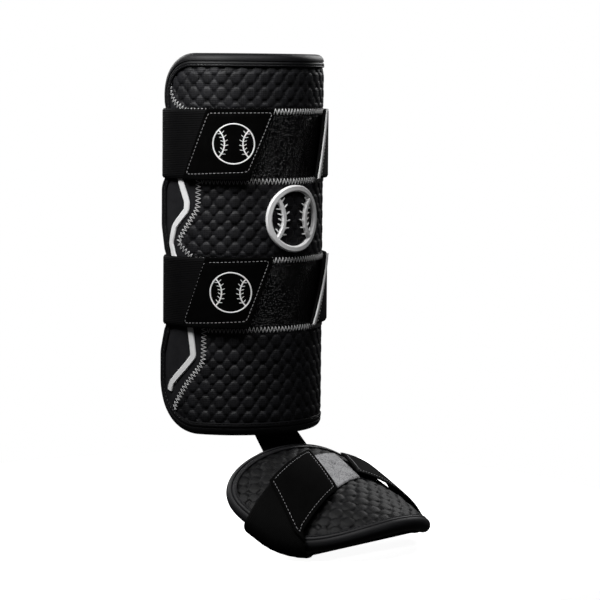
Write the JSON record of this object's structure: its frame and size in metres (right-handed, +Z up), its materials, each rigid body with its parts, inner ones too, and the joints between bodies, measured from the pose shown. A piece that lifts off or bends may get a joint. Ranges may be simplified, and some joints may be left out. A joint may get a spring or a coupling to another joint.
{
  "type": "batter's leg guard",
  "caption": "Curved padded shin guard with rolled edge and two wide elastic straps, and a domed foot guard on a short band with its own strap.",
  "frame": {"origin": "on the axis of the leg, half way up the shin guard", "axes": "+Z up the leg, -Y towards the toes, -X the side on which the strap tabs fasten"},
  "size_m": [0.1542, 0.2143, 0.3547],
  "materials": {
    "lining_cloth": "soft knitted lining over foam",
    "scale_cloth": "coated fabric embossed with small scales",
    "loop_cloth": "brushed loop fabric with a soft shine",
    "wing_cloth": "smooth coated fabric, charcoal",
    "white_print": "raised moulded transfer, satin white",
    "binding_cloth": "knitted binding tape, rolled",
    "foot_binding_cloth": "knitted binding tape, rolled, dark grey",
    "elastic": "ribbed woven elastic, matt",
    "tab_cloth": "stitched hook fabric tab",
    "white_trim": "woven white tape",
    "grey_loop": "brushed loop fabric, grey"
  },
  "bodies": {
    "root": {"shin_pad": "lining_cloth", "upper_scale_panel": "scale_cloth", "upper_loop_band": "loop_cloth", "middle_scale_panel": "scale_cloth", "lower_loop_band": "loop_cloth", "lower_scale_panel": "scale_cloth", "left_wing": "wing_cloth", "right_wing": "wing_cloth", "left_stripe": "white_print", "right_stripe": "white_print", "front_emblem": "white_print", "shin_binding": "binding_cloth", "upper_strap": "elastic", "lower_strap": "elastic", "upper_hook_tab": "tab_cloth", "lower_hook_tab": "tab_cloth", "upper_strap_trim": "white_trim", "lower_strap_trim": "white_trim", "ankle_link": "elastic", "foot_pad": "lining_cloth", "foot_scale_panel": "scale_cloth", "foot_binding": "foot_binding_cloth", "foot_strap": "elastic", "foot_hook_tab": "tab_cloth", "foot_loop_patch": "grey_loop"}
  },
  "joints": []
}
